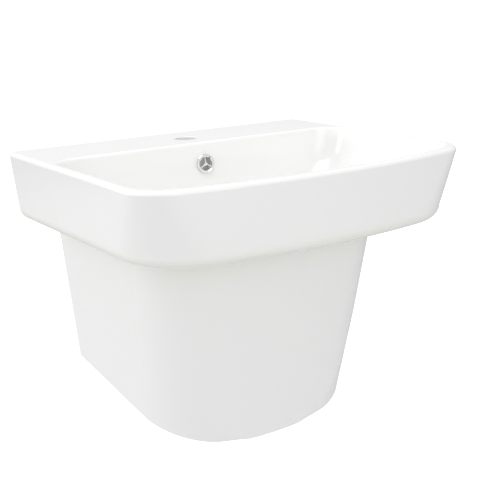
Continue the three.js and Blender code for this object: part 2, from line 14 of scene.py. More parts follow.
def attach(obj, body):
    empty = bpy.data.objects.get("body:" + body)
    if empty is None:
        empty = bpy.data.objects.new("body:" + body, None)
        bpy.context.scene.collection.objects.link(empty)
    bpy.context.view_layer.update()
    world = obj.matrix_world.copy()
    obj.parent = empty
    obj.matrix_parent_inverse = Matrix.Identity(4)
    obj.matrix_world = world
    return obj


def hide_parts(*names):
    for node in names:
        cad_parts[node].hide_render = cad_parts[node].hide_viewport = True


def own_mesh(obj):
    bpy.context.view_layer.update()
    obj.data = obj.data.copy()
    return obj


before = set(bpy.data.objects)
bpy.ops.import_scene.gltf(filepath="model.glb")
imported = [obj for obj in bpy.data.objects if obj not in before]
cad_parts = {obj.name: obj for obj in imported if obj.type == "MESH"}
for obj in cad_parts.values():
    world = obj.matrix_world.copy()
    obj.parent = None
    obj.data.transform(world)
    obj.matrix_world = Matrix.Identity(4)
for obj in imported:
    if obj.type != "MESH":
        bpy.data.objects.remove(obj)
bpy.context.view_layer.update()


def corners(box):
    return [[float(v) for v in corner] for corner in box]


MM = 0.001
TAU = 2 * math.pi

# ---------------------------------------------------------------- casting, in mm
RIM_Z = 75
BOTTOM_Z = -335
RIM = dict(half=250, depth=450, corner=58, bow=950, rear=9, back=0, taper=0)
APRON_FOOT = dict(RIM, half=245, depth=442, corner=104)
APRON_HEIGHT = 99
UNDERSIDE_Z = RIM_Z - APRON_HEIGHT
LOWER_EDGE_RADIUS = 18
RIM_EDGE_RADIUS = 6
SHROUD_TOP = dict(half=188, depth=346, corner=95, bow=570, rear=6, back=0, taper=0)
SHROUD_FOOT = dict(half=177, depth=284, corner=93, bow=600, rear=6, back=0, taper=math.radians(3.2))
FILLET = 30
FOOT_RISE = 83
FOOT_RISE_POWER = 0.6
FOOT_EDGE_RADIUS = 4
FOOT_EDGE_INSET = 2.4

CAST_WALL = 10
BACK_WALL = 15
DECK_THICKNESS = 14
BACK_WALL_BOTTOM_Z = UNDERSIDE_Z - 20

RIM_WIDTH = 14
RIM_INNER_RADIUS = 5
DECK_DEPTH = 122
BOWL = dict(half=250 - RIM_WIDTH, depth=450 - RIM_WIDTH, corner=50, bow=950 - RIM_WIDTH, rear=40,
            back=-DECK_DEPTH, taper=0)
BOWL_DEPTH = 104
BOWL_SKIN = 9
BOWL_FULLNESS = 3
BOWL_LEAN = 0.07
DRAIN_Y = -228
DRAIN_BORE = 23
DRAIN_RECESS_RADIUS = 33
DRAIN_RECESS = 5
BOSS_RADIUS = 40
FLOOR_Z = RIM_Z - BOWL_DEPTH
BOSS_Z = FLOOR_Z - 43
TAP_HOLE_RADIUS = 17.5
TAP_HOLE_Y = -70
OVERFLOW_DROP = 32
OVERFLOW_BORE = 11
DUCT_WIDTH, DUCT_DEPTH, DUCT_WALL = 40, 11, 7
BOLT_HALF_SPACING, BOLT_BORE, BOLT_RADIUS = 100, 9, 5

# ---------------------------------------------------------------- fittings, in mm
GAP = 0.3
SEAT_Z = FLOOR_Z - DRAIN_RECESS
FLANGE_Z = SEAT_Z + 2 + 2 * GAP
FLANGE_TOP_Z = FLANGE_Z + 3
FLANGE_RADIUS, TAIL_RADIUS, TAIL_INNER, TAIL_END_Z = 32, 21, 17.5, -150
CAP_LOW_Z = FLANGE_TOP_Z + GAP + 9 + 2.6
CARTRIDGE_Z = FLOOR_Z - 46
STEM_COLLAR_Z = FLOOR_Z - 12
PIPE_RADIUS, PIPE_INNER = 16, 14.6
OUTLET_Z, HEAD_RADIUS, CUP_RADIUS = -222, 27, 31
CUP_BOTTOM_Z, DIP_END_Z, SPIGOT_END = -304, -282, 48

# ---------------------------------------------------------------- studio, in metres
CAMERA_SPOT = (-0.7027, -1.3709, 0.2798)
CAMERA_TURN = (-35.39, 18.27, -1.68)
CAMERA_LENS = 962.8 * 36 / 500
CAMERA_SHIFT = (-0.12, 0.12)
FLOOR_LEVEL = -775
FLOOR_REACH = 9000
FLOOR_COLOR = (0.62, 0.62, 0.62)
FLOOR_GLOW = 0.75
WORLD_LIGHT = 0.74
WORLD_SEEN = 1.1
LIGHTS = [
    ("overhead", (-0.3, -0.5, 2.4), (0, -0.25, 0), (2.2, 1.8), 21),
    ("left", (-2.7, 1.9, 1.0), (0, -0.2, 0), (3.0, 2.6), 45),
    ("backdrop", (1.9, 2.4, 1.1), (0, -0.2, 0.1), (3.4, 2.4), 2),
    ("front", (-0.6, -3.6, 0.45), (0, -0.2, -0.15), (3.0, 2.4), 20),
    ("front_strip", (-0.6, -3.2, 1.4), (0, -0.2, 0), (0.3, 2.4), 3),
]


# ---------------------------------------------------------------- meshes
def mesh_object(name, verts, faces):
    """A mesh object from points in mm."""
    mesh = bpy.data.meshes.new(name)
    mesh.from_pydata([Vector(v) * MM for v in verts], [], faces)
    mesh.validate()
    obj = bpy.data.objects.new(name, mesh)
    bpy.context.scene.collection.objects.link(obj)
    return obj


def outline(shape, front=26, corner=20, rear=6):
    """Plan points of a D-shaped outline, counter-clockwise from the front centre. Its sides close in
    towards the front by the taper's angle."""
    centre_y = shape["bow"] - shape["depth"]
    rear_x, rear_y = shape["half"] - shape["rear"], shape["back"] - shape["rear"]
    taper = shape["taper"]
    out_x, out_y = math.cos(taper), -math.sin(taper)
    reach = rear_x * out_x + (rear_y - centre_y) * out_y + shape["rear"] - shape["corner"]
    fall = math.sqrt((shape["bow"] - shape["corner"]) ** 2 - reach ** 2)
    corner_x = out_x * reach + out_y * fall
    corner_y = centre_y + out_y * reach - out_x * fall
    touch = math.atan2(corner_y - centre_y, corner_x)
    right = []

    def arc(x, y, radius, start, end, steps, first=0):
        for i in range(first, steps + 1):
            angle = start + (end - start) * i / steps
            right.append((x + radius * math.cos(angle), y + radius * math.sin(angle)))

    arc(0, centre_y, shape["bow"], -math.pi / 2, touch, front)
    arc(corner_x, corner_y, shape["corner"], touch, -taper, corner, 1)
    arc(rear_x, rear_y, shape["rear"], -taper, math.pi / 2, rear)
    return right + [(-x, y) for x, y in reversed(right[1:])]


def grown(shape, by, behind=0):
    return dict(
        half=shape["half"] + by, depth=shape["depth"] + by, corner=shape["corner"] + by,
        bow=shape["bow"] + by, rear=max(shape["rear"] + behind, 2), back=shape["back"] + behind,
        taper=shape["taper"],
    )


def between(a, b, t):
    return {key: a[key] + (b[key] - a[key]) * t for key in a}


def level(shape, z):
    return [(x, y, z) for x, y in outline(shape)]


def skin(name, rings, strips=True):
    """A closed mesh over rings of equal point count, lowest first. The caps of a mirrored outline are
    strips from its right side to its left."""
    count = len(rings[0])
    verts = [p for ring in rings for p in ring]
    faces = []
    for i in range(len(rings) - 1):
        for j in range(count):
            a, b = i * count + j, i * count + (j + 1) % count
            faces.append((a, b, b + count, a + count))
    top = (len(rings) - 1) * count
    caps = [tuple(range(count))]
    if strips:
        caps = [(0, 1, count - 1)]
        caps += [(i, i + 1, count - i - 1, count - i) for i in range(1, (count - 1) // 2)]
    faces += [tuple(reversed(cap)) for cap in caps]
    faces += [tuple(top + i for i in cap) for cap in caps]
    return mesh_object(name, verts, faces)


def turned(name, profile, segments=96, place=None):
    """A closed ring or disc turned about Z from (radius, z) points; place moves it, in mm."""
    points = [p for i, p in enumerate(profile) if p != profile[i - 1]]
    area = sum(a[0] * b[1] - b[0] * a[1] for a, b in zip(points, points[1:] + points[:1]))
    if area < 0:
        points.reverse()
    verts, index = [], []
    for radius, z in points:
        if radius < 1e-6:
            index.append([len(verts)] * segments)
            verts.append((0, 0, z))
            continue
        index.append(list(range(len(verts), len(verts) + segments)))
        verts += [(radius * math.cos(TAU * k / segments), radius * math.sin(TAU * k / segments), z)
                  for k in range(segments)]
    faces = []
    for i, ring in enumerate(index):
        upper = index[(i + 1) % len(index)]
        for k in range(segments):
            n = (k + 1) % segments
            loop = []
            for v in (ring[k], ring[n], upper[n], upper[k]):
                if v not in loop:
                    loop.append(v)
            if len(loop) > 2:
                faces.append(tuple(loop))
    obj = mesh_object(name, verts, faces)
    if place is not None:
        obj.data.transform(scaled_place(place))
    return obj


def scaled_place(place):
    """A transform whose move is given in mm."""
    moved = place.copy()
    moved.translation *= MM
    return moved


def rounded(profile, radius=0.4, steps=3):
    """The closed profile with each corner off the axis rounded."""
    out = []
    for i, here in enumerate(profile):
        before, after = profile[i - 1], profile[(i + 1) % len(profile)]
        p = Vector(here)
        a, b = Vector(before) - p, Vector(after) - p
        if here[0] < 1e-6 or a.length < 1e-6 or b.length < 1e-6:
            out.append(here)
            continue
        turn = a.angle(b)
        reach = min(radius / math.tan(turn / 2) if turn > 0.05 else 0, a.length * 0.45, b.length * 0.45)
        if turn > math.radians(172):
            out.append(here)
            continue
        start, end = p + a.normalized() * reach, p + b.normalized() * reach
        for k in range(steps + 1):
            t = k / steps
            q = start * (1 - t) ** 2 + p * 2 * t * (1 - t) + end * t ** 2
            out.append((q.x, q.y))
    return out


def carve(body, *cutters, join=False):
    """Cuts the cutters out of the body, or joins them to it, and removes them."""
    for cutter in cutters:
        modifier = body.modifiers.new("carve", "BOOLEAN")
        modifier.operation = "UNION" if join else "DIFFERENCE"
        modifier.solver = "MANIFOLD"
        modifier.object = cutter
        graph = bpy.context.evaluated_depsgraph_get()
        mesh = bpy.data.meshes.new_from_object(body.evaluated_get(graph))
        body.modifiers.clear()
        old = body.data
        body.data = mesh
        mesh.name = body.name
        bpy.data.meshes.remove(old)
        bpy.data.objects.remove(cutter)
    return body


def soften(obj, angle=32):
    """Smooth shading, with edges sharper than the angle kept."""
    obj.data.polygons.foreach_set("use_smooth", [True] * len(obj.data.polygons))
    obj.data.set_sharp_from_angle(angle=math.radians(angle))
    weighted = obj.modifiers.new("weighted", "WEIGHTED_NORMAL")
    weighted.keep_sharp = True
    weighted.weight = 60
    return obj


# ---------------------------------------------------------------- material helpers
def material(name, color, roughness, metallic=0.0, **sockets):
    mat = bpy.data.materials.new(name)
    mat.use_nodes = True
    shader = mat.node_tree.nodes["Principled BSDF"]
    shader.inputs["Base Color"].default_value = (*color, 1)
    shader.inputs["Roughness"].default_value = roughness
    shader.inputs["Metallic"].default_value = metallic
    for key, value in sockets.items():
        shader.inputs[key.replace("_", " ")].default_value = value
    return mat


def noise(mat, scale, detail=3.0, stretch=(1, 1, 1)):
    """A noise in object space; scale is features per metre."""
    nodes, links = mat.node_tree.nodes, mat.node_tree.links
    place = nodes.new("ShaderNodeTexCoord")
    move = nodes.new("ShaderNodeMapping")
    move.inputs["Scale"].default_value = stretch
    made = nodes.new("ShaderNodeTexNoise")
    made.inputs["Scale"].default_value = scale
    made.inputs["Detail"].default_value = detail
    links.new(place.outputs["Object"], move.inputs["Vector"])
    links.new(move.outputs["Vector"], made.inputs["Vector"])
    return made.outputs["Fac"]


def spread(mat, value, low, high, start=0.0, end=1.0):
    """Maps a value from start..end to low..high."""
    node = mat.node_tree.nodes.new("ShaderNodeMapRange")
    node.inputs["From Min"].default_value = start
    node.inputs["From Max"].default_value = end
    node.inputs["To Min"].default_value = low
    node.inputs["To Max"].default_value = high
    mat.node_tree.links.new(value, node.inputs["Value"])
    return node.outputs["Result"]


def tint(mat, fac, a, b):
    node = mat.node_tree.nodes.new("ShaderNodeMix")
    node.data_type = "RGBA"
    node.inputs[6].default_value = (*a, 1)
    node.inputs[7].default_value = (*b, 1)
    mat.node_tree.links.new(fac, node.inputs[0])
    return node.outputs[2]


def blend_colors(mat, fac, a, b):
    node = mat.node_tree.nodes.new("ShaderNodeMix")
    node.data_type = "RGBA"
    for value, socket in ((fac, 0), (a, 6), (b, 7)):
        mat.node_tree.links.new(value, node.inputs[socket])
    return node.outputs[2]


def bump(mat, height, distance, strength=1.0, below=None):
    node = mat.node_tree.nodes.new("ShaderNodeBump")
    node.inputs["Distance"].default_value = distance
    node.inputs["Strength"].default_value = strength
    mat.node_tree.links.new(height, node.inputs["Height"])
    if below is not None:
        mat.node_tree.links.new(below, node.inputs["Normal"])
    return node.outputs["Normal"]


def wire(mat, value, socket):
    mat.node_tree.links.new(value, mat.node_tree.nodes["Principled BSDF"].inputs[socket])


def height_of(mat, axis):
    nodes, links = mat.node_tree.nodes, mat.node_tree.links
    place = nodes.new("ShaderNodeTexCoord")
    split = nodes.new("ShaderNodeSeparateXYZ")
    links.new(place.outputs["Object"], split.inputs["Vector"])
    return split.outputs[axis]


def combine(mat, operation, a, b):
    node = mat.node_tree.nodes.new("ShaderNodeMath")
    node.operation = operation
    for socket, value in zip(node.inputs, (a, b)):
        if isinstance(value, (int, float)):
            socket.default_value = value
        else:
            mat.node_tree.links.new(value, socket)
    return node.outputs["Value"]


# ---------------------------------------------------------------- materials
def glaze_material():
    """White vitreous china: a clear glassy glaze, slightly wavy, with a painted warm shade band under the basin for
    the shadow and warm bounce light under its overhang, and a matt ground face on the back."""
    mat = material("glaze", (0.92, 0.92, 0.917), 0.11, Coat_Weight=0.6, Coat_Roughness=0.03, Coat_IOR=1.5)
    # Painted shade: a warm, slightly darker band over the pedestal's top and the basin's lower edge stands in for the
    # shadow and warm bounce light under the overhang.
    z = height_of(mat, "Z")
    low = spread(mat, z, 0, 1, (UNDERSIDE_Z - 62) * MM, (UNDERSIDE_Z - 14) * MM)
    high = spread(mat, z, 1, 0, (UNDERSIDE_Z + 2) * MM, (UNDERSIDE_Z + 24) * MM)
    painted_under_shade = combine(mat, "MULTIPLY", low, high)
    blotch = spread(mat, noise(mat, 9, 2), 0.55, 1.0, 0.3, 0.7)
    painted_under_shade = combine(mat, "MULTIPLY", painted_under_shade, blotch)
    color = tint(mat, painted_under_shade, (0.922, 0.922, 0.919), (0.915, 0.92, 0.845))
    back = spread(mat, height_of(mat, "Y"), 0, 1, -0.0009, -0.0002)
    ground = tint(mat, noise(mat, 130, 4), (0.8, 0.785, 0.75), (0.72, 0.7, 0.66))
    color = blend_colors(mat, back, color, ground)
    wire(mat, color, "Base Color")
    glossy = spread(mat, noise(mat, 26, 4), 0.07, 0.13, 0.3, 0.7)
    wire(mat, combine(mat, "MAXIMUM", glossy, combine(mat, "MULTIPLY", back, 0.6)), "Roughness")
    wave = bump(mat, noise(mat, 16, 1.5), 0.00035, 0.5)
    skin_bump = bump(mat, noise(mat, 420, 2), 0.00001, 0.5, wave)
    wire(mat, skin_bump, "Normal")
    return mat


def metal_material(name, color, dark, roughness, grain=180, dent=0.00002, stretch=(1, 1, 1)):
    mat = material(name, color, roughness, 1.0)
    patches = spread(mat, noise(mat, grain * 0.4, 4), 0, 1, 0.35, 0.75)
    wire(mat, tint(mat, patches, color, dark), "Base Color")
    worn = noise(mat, grain, 5, stretch)
    wire(mat, spread(mat, worn, roughness * 0.7, roughness * 1.5, 0.3, 0.7), "Roughness")
    wire(mat, bump(mat, worn, dent, 0.4), "Normal")
    return mat


def rubber_material():
    mat = material("rubber", (0.03, 0.03, 0.032), 0.75)
    grain = noise(mat, 900, 4)
    wire(mat, tint(mat, grain, (0.022, 0.022, 0.024), (0.05, 0.05, 0.05)), "Base Color")
    wire(mat, spread(mat, grain, 0.62, 0.85), "Roughness")
    wire(mat, bump(mat, grain, 0.00005, 0.6), "Normal")
    return mat


def nylon_material():
    mat = material("nylon", (0.8, 0.79, 0.75), 0.42, Subsurface_Weight=0.08)
    grain = noise(mat, 700, 3)
    wire(mat, tint(mat, noise(mat, 60, 3), (0.82, 0.81, 0.78), (0.76, 0.75, 0.7)), "Base Color")
    wire(mat, spread(mat, grain, 0.36, 0.52), "Roughness")
    wire(mat, bump(mat, grain, 0.00003, 0.5), "Normal")
    return mat


def threaded_material(name, base, axis, pitch):
    """The base metal with a screw thread's ridges."""
    mat = base.copy()
    mat.name = name
    ridge = combine(mat, "PINGPONG", height_of(mat, axis), pitch / 2)
    shader = mat.node_tree.nodes["Principled BSDF"]
    below = shader.inputs["Normal"].links[0].from_socket
    wire(mat, bump(mat, spread(mat, ridge, 0, 1, 0, pitch / 2), pitch * 0.4, 0.6, below), "Normal")
    return mat


GLAZE = glaze_material()
CHROME = metal_material("chrome", (0.88, 0.88, 0.89), (0.82, 0.82, 0.84), 0.07, 160, 0.00001)
BRASS = metal_material("brass", (0.72, 0.52, 0.22), (0.5, 0.34, 0.13), 0.32, 260, 0.00008)
ZINC = metal_material("zinc", (0.62, 0.64, 0.66), (0.48, 0.5, 0.54), 0.36, 320, 0.00005)
SPRING = metal_material("spring_steel", (0.5, 0.51, 0.53), (0.36, 0.37, 0.4), 0.28, 400, 0.00003)
RUBBER = rubber_material()
NYLON = nylon_material()
THREADED = threaded_material("threaded_chrome", CHROME, "Z", 0.0018)
THREADED_ZINC = threaded_material("threaded_zinc", ZINC, "Y", 0.0015)
# Painted shade: the overflow duct's inside is coloured near-black for the dark of the deep, narrow hole, not for the
# china's own white.
DUCT_SHADE_PAINT = material("duct_painted_shade", (0.02, 0.02, 0.022), 0.8)
DUCT_SHADE_TONES = (0.015, 0.015, 0.016), (0.03, 0.03, 0.03)
wire(DUCT_SHADE_PAINT, tint(DUCT_SHADE_PAINT, noise(DUCT_SHADE_PAINT, 90, 3), *DUCT_SHADE_TONES), "Base Color")
SLOTS = dict(glaze=GLAZE, chrome=CHROME, brass=BRASS, zinc=ZINC, spring_steel=SPRING,
             rubber=RUBBER, nylon=NYLON)


def dress(obj, mat):
    obj.data.materials.clear()
    obj.data.materials.append(mat)
    return obj


# ---------------------------------------------------------------- casting
def foot_z(y, lift=0):
    from_front = max(0.0, 1 + y / (SHROUD_FOOT["depth"] - FOOT_EDGE_INSET))
    return BOTTOM_Z + lift + FOOT_RISE * from_front ** FOOT_RISE_POWER


def shroud_rings(inset, behind, top_z, steps):
    foot, head = grown(SHROUD_FOOT, -inset, behind), grown(SHROUD_TOP, -inset, behind)
    rings = []
    for i in range(steps + 1):
        t = i / steps
        rings.append([(x, y, foot_z(y, FOOT_EDGE_RADIUS) * (1 - t) + top_z * t)
                      for x, y in outline(between(foot, head, t))])
    return rings


def outer_skin():
    rings = []
    for i in range(4):
        turn = i / 4 * math.pi / 2
        inset = FOOT_EDGE_INSET * (1 - math.sin(turn))
        lift = FOOT_EDGE_RADIUS * (1 - math.cos(turn))
        rings.append([(x, y, foot_z(y, lift)) for x, y in outline(grown(SHROUD_FOOT, -inset))])
    rings += shroud_rings(0, 0, UNDERSIDE_Z - FILLET, 26)
    for i in range(1, 13):
        turn = i / 12 * math.pi / 2
        out = FILLET * (1 - math.cos(turn))
        rings.append(level(grown(SHROUD_TOP, out), UNDERSIDE_Z - FILLET * (1 - math.sin(turn))))
    for i in range(9):
        turn = i / 8 * math.pi / 2
        out = LOWER_EDGE_RADIUS * (math.sin(turn) - 1)
        z = UNDERSIDE_Z + 0.2 + LOWER_EDGE_RADIUS * (1 - math.cos(turn))
        rings.append(level(grown(APRON_FOOT, out), z))
    low, high = UNDERSIDE_Z + LOWER_EDGE_RADIUS, RIM_Z - RIM_EDGE_RADIUS
    for i in range(1, 11):
        rings.append(level(between(APRON_FOOT, RIM, i / 10), low + (high - low) * i / 10))
    for i in range(1, 9):
        turn = i / 8 * math.pi / 2
        inward = RIM_EDGE_RADIUS * (1 - math.cos(turn))
        rings.append(level(grown(RIM, -inward, -inward / 3), high + RIM_EDGE_RADIUS * math.sin(turn)))
    return skin("basin_casting", rings)


def bowl_rings(grow, count):
    shape = grown(BOWL, grow, grow)
    rings = []
    for i in range(count):
        turn = (1 - (i + 1) / (count + 1)) * math.pi / 2
        fall = math.sin(turn) ** (2 / BOWL_FULLNESS)
        reach = math.cos(turn) ** (2 / BOWL_FULLNESS) * (1 - BOWL_LEAN * fall)
        rings.append([(x * reach, DRAIN_Y + (y - DRAIN_Y) * reach, RIM_Z - (BOWL_DEPTH + grow) * fall)
                      for x, y in outline(shape)])
    return shape, rings


def bowl_hollow():
    shape, rings = bowl_rings(0, 44)
    rings.append(level(shape, RIM_Z - RIM_INNER_RADIUS))
    for i in range(1, 9):
        turn = i / 8 * math.pi / 2
        out = RIM_INNER_RADIUS * (1 - math.cos(turn))
        rings.append(level(grown(shape, out, out), RIM_Z - RIM_INNER_RADIUS * (1 - math.sin(turn))))
    rings.append(level(grown(shape, RIM_INNER_RADIUS, RIM_INNER_RADIUS), RIM_Z + 5))
    return skin("bowl_hollow", rings)


def bowl_outside():
    shape, rings = bowl_rings(BOWL_SKIN, 24)
    rings.append(level(shape, RIM_Z - 8))
    return skin("bowl_outside", rings)


def bowl_back_y(z):
    fall = (RIM_Z - z) / BOWL_DEPTH
    reach = (1 - fall ** BOWL_FULLNESS) ** (1 / BOWL_FULLNESS) * (1 - BOWL_LEAN * fall)
    return DRAIN_Y + (-DECK_DEPTH - DRAIN_Y) * reach



def box_solid(name, low, high):
    corners = [(x, y, z) for z in (low[2], high[2]) for y in (low[1], high[1]) for x in (low[0], high[0])]
    faces = [(0, 2, 3, 1), (4, 5, 7, 6), (0, 1, 5, 4), (2, 6, 7, 3), (0, 4, 6, 2), (1, 3, 7, 5)]
    return mesh_object(name, corners, faces)


def along(points, steps):
    """A centripetal Catmull-Rom curve through (y, z) points."""
    pts = [Vector(p) for p in points]
    pts = [pts[0] * 2 - pts[1]] + pts + [pts[-1] * 2 - pts[-2]]
    out = []
    for i in range(1, len(pts) - 2):
        p0, p1, p2, p3 = pts[i - 1:i + 3]
        t0 = 0
        t1 = t0 + (p1 - p0).length ** 0.5
        t2 = t1 + (p2 - p1).length ** 0.5
        t3 = t2 + (p3 - p2).length ** 0.5
        for k in range(steps + (i == len(pts) - 3)):
            t = t1 + (t2 - t1) * k / steps
            a1 = p0 * ((t1 - t) / (t1 - t0)) + p1 * ((t - t0) / (t1 - t0))
            a2 = p1 * ((t2 - t) / (t2 - t1)) + p2 * ((t - t1) / (t2 - t1))
            a3 = p2 * ((t3 - t) / (t3 - t2)) + p3 * ((t - t2) / (t3 - t2))
            b1 = a1 * ((t2 - t) / (t2 - t0)) + a2 * ((t - t0) / (t2 - t0))
            b2 = a2 * ((t3 - t) / (t3 - t1)) + a3 * ((t - t1) / (t3 - t1))
            out.append(b1 * ((t2 - t) / (t2 - t1)) + b2 * ((t - t1) / (t2 - t1)))
    return out


def duct(name, wall):
    """The overflow duct behind and under the bowl: its hollow, or with a wall its outside."""
    back = -DECK_DEPTH + BOWL_SKIN + DUCT_DEPTH
    path = along([
        (back, RIM_Z - DECK_THICKNESS - 1 + wall / 2), (back, 10), (back - 14, -38), (back - 48, -70),
        (back - 86, FLOOR_Z - 27), (DRAIN_Y + DRAIN_BORE - 4 + wall * 1.5, FLOOR_Z - 27),
    ], 8)
    w, d, cut = DUCT_WIDTH / 2 + wall, DUCT_DEPTH / 2 + wall, 3
    section = []
    for cx, cd, start in ((w - cut, -d + cut, -90), (w - cut, d - cut, 0),
                          (-w + cut, d - cut, 90), (-w + cut, -d + cut, 180)):
        for k in range(5):
            angle = math.radians(start + 22.5 * k)
            section.append((cx + cut * math.cos(angle), cd + cut * math.sin(angle)))
    rings = []
    for i, p in enumerate(path):
        ahead, behind = path[min(i + 1, len(path) - 1)], path[max(i - 1, 0)]
        t = (ahead - behind).normalized()
        rings.append([(x, p.x - t.y * q, p.y + t.x * q) for x, q in section])
    rings.reverse()
    obj = skin(name, rings, strips=False)
    turn_outward(obj)
    return obj


def turn_outward(obj):
    made = bmesh.new()
    made.from_mesh(obj.data)
    bmesh.ops.recalc_face_normals(made, faces=made.faces)
    made.to_mesh(obj.data)
    made.free()


def pose_at(x, y, z, turn_x=0.0, turn_z=0.0):
    """A place in mm with a turn about X after a turn about Z."""
    leaning = Euler((turn_x, 0, 0)).to_matrix().to_4x4()
    return Matrix.Translation((x, y, z)) @ leaning @ Matrix.Rotation(turn_z, 4, "Z")


def hole(name, radius, low, high, place, lip=0.0, segments=64):
    """A cutter for a bored hole whose mouth at `high` opens out with a rounded lip."""
    profile = [(0, low), (radius, low)]
    if lip:
        for k in range(7):
            angle = k / 6 * math.pi / 2
            profile.append((radius + lip * (1 - math.cos(angle)), high - lip + lip * math.sin(angle)))
        profile.append((radius + lip, high + 3))
        profile.append((0, high + 3))
    else:
        profile += [(radius, high), (0, high)]
    return turned(name, profile, segments, place)


def casting_hollow():
    """The room inside the pedestal and under the deck, before the bowl is set in it."""
    lower = shroud_rings(CAST_WALL, 20, UNDERSIDE_Z + CAST_WALL + 2, 12)
    lower.insert(0, [(x, y, z - FOOT_RISE - 20) for x, y, z in lower[0]])
    hollow = skin("hollow", lower)
    carve(hollow, box_solid("behind", (-260, -BACK_WALL, BACK_WALL_BOTTOM_Z), (260, 60, RIM_Z)))
    foot, top = grown(APRON_FOOT, -CAST_WALL, -BACK_WALL), grown(RIM, -CAST_WALL, -BACK_WALL)
    foot["rear"] = top["rear"] = 4
    chamber = skin("chamber", [level(foot, UNDERSIDE_Z + CAST_WALL), level(top, RIM_Z - DECK_THICKNESS)])
    return carve(hollow, chamber, join=True)


def basin_casting():
    hollow = casting_hollow()
    boss = turned("boss", [(0, BOSS_Z), (38, BOSS_Z), (BOSS_RADIUS, BOSS_Z + 2),
                           (BOSS_RADIUS, FLOOR_Z - 2), (0, FLOOR_Z - 2)],
                  96, pose_at(0, DRAIN_Y, 0))
    carve(hollow, bowl_outside(), boss, duct("duct_outside", DUCT_WALL))
    body = outer_skin()
    for slot_material in (GLAZE, DUCT_SHADE_PAINT):
        body.data.materials.append(slot_material)
    # The duct's hollow leaves faces in the body that carry the near-black painted shade.
    shade = duct("duct_hollow", 0)
    for slot_material in (GLAZE, DUCT_SHADE_PAINT):
        shade.data.materials.append(slot_material)
    shade.data.polygons.foreach_set("material_index", [1] * len(shade.data.polygons))
    recess = [(0, FLOOR_Z - DRAIN_RECESS), (DRAIN_RECESS_RADIUS - 1.5, FLOOR_Z - DRAIN_RECESS),
              (DRAIN_RECESS_RADIUS, FLOOR_Z - DRAIN_RECESS + 1.5), (DRAIN_RECESS_RADIUS, FLOOR_Z - 2)]
    for k in range(1, 8):
        angle = k / 7 * math.radians(80)
        recess.append((DRAIN_RECESS_RADIUS + 5 * (1 - math.cos(angle)), FLOOR_Z - 2 + 5 * math.sin(angle)))
    recess += [(DRAIN_RECESS_RADIUS + 5, FLOOR_Z + 6), (0, FLOOR_Z + 6)]
    carve(
        body, hollow, bowl_hollow(),
        turned("recess", recess, 96, pose_at(0, DRAIN_Y, 0)),
        hole("drain", DRAIN_BORE, BOSS_Z - 5, FLOOR_Z - 2, pose_at(0, DRAIN_Y, 0)),
        hole("tap_hole", TAP_HOLE_RADIUS, RIM_Z - DECK_THICKNESS - 5, RIM_Z,
             pose_at(0, TAP_HOLE_Y, 0), 1.2, 96),
        hole("overflow", OVERFLOW_BORE, -1, 24,
             pose_at(0, -DECK_DEPTH + BOWL_SKIN + 2, RIM_Z - OVERFLOW_DROP, math.pi / 2)),
        *[hole("bolt_hole", BOLT_BORE, -5, BACK_WALL + 5, pose_at(x, 0, 0, math.pi / 2), 0, 48)
          for x in (-BOLT_HALF_SPACING, BOLT_HALF_SPACING)],
        shade,
    )
    soften(body, 38)
    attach(body, "basin")
    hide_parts("ceramic_body")
    return body


# ---------------------------------------------------------------- fittings
def fit_piece(obj, node, body="basin", slot="chrome", mat=None, angle=32):
    """Dresses a fine piece and lets it stand for its CAD node."""
    dress(obj, mat or SLOTS[slot])
    soften(obj, angle)
    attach(obj, body)
    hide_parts(node)
    return obj


def ring_profile(inner, outer, low, high, edge=0.3):
    return rounded([(inner, low), (outer, low), (outer, high), (inner, high)], edge)


def on_drain(name, profile, segments=96):
    return turned(name, profile, segments, pose_at(0, DRAIN_Y, 0))


def overflow_trim():
    z = RIM_Z - OVERFLOW_DROP
    lean = math.atan((bowl_back_y(z + 1) - bowl_back_y(z - 1)) / 2)
    place = pose_at(0, bowl_back_y(z) - 1.1, z, math.pi / 2 - lean)
    flange = rounded([(9.4, -0.2), (9.4, -5), (OVERFLOW_BORE - 0.8, -5), (OVERFLOW_BORE - 0.8, 0), (14.4, 0),
                      (14.6, 0.8), (13.4, 2.4), (11.4, 2.4), (10, 1.4)], 0.5, 4)
    trim = turned("overflow_trim", flange, 96, place)
    parts = [turned("hub", rounded([(0, -1.4), (2.6, -1.4), (2.6, 1.4), (0, 1.4)], 0.4), 48, place)]
    for i in range(3):
        spoke = box_solid("spoke", (-0.95, 0.5, -1.2), (0.95, 9.9, 1.0))
        bevel_edges(spoke, 0.3)
        spoke.data.transform(scaled_place(place @ Matrix.Rotation(i * TAU / 3, 4, "Z")))
        parts.append(spoke)
    carve(trim, *parts, join=True)
    return fit_piece(trim, "overflow_ring")


def bevel_edges(obj, width, segments=3):
    made = bmesh.new()
    made.from_mesh(obj.data)
    bmesh.ops.bevel(made, geom=made.edges[:], offset=width * MM, segments=segments,
                    affect="EDGES", profile=0.5)
    made.to_mesh(obj.data)
    made.free()


def waste_fitting():
    outline_ = rounded([(TAIL_INNER, TAIL_END_Z), (TAIL_RADIUS - 1, TAIL_END_Z), (TAIL_RADIUS, TAIL_END_Z + 1),
                        (TAIL_RADIUS, FLANGE_Z), (FLANGE_RADIUS - 0.6, FLANGE_Z), (FLANGE_RADIUS, FLANGE_Z + 0.8),
                        (FLANGE_RADIUS - 1.5, FLANGE_TOP_Z - 0.4), (FLANGE_RADIUS - 4, FLANGE_TOP_Z),
                        (TAIL_INNER + 3, FLANGE_TOP_Z), (TAIL_INNER, FLANGE_TOP_Z - 4)], 0.5)
    body = on_drain("waste_fitting", outline_)
    slots = []
    for turn in (math.pi / 6, math.pi / 2, 5 * math.pi / 6):
        cut = box_solid("slot", (-TAIL_RADIUS * 1.5, -6.5, -7), (TAIL_RADIUS * 1.5, 6.5, 7))
        cut.data.transform(scaled_place(pose_at(0, DRAIN_Y, FLOOR_Z - 27, 0, turn)))
        slots.append(cut)
    carve(body, *slots)
    return fit_piece(body, "waste_body", mat=THREADED)


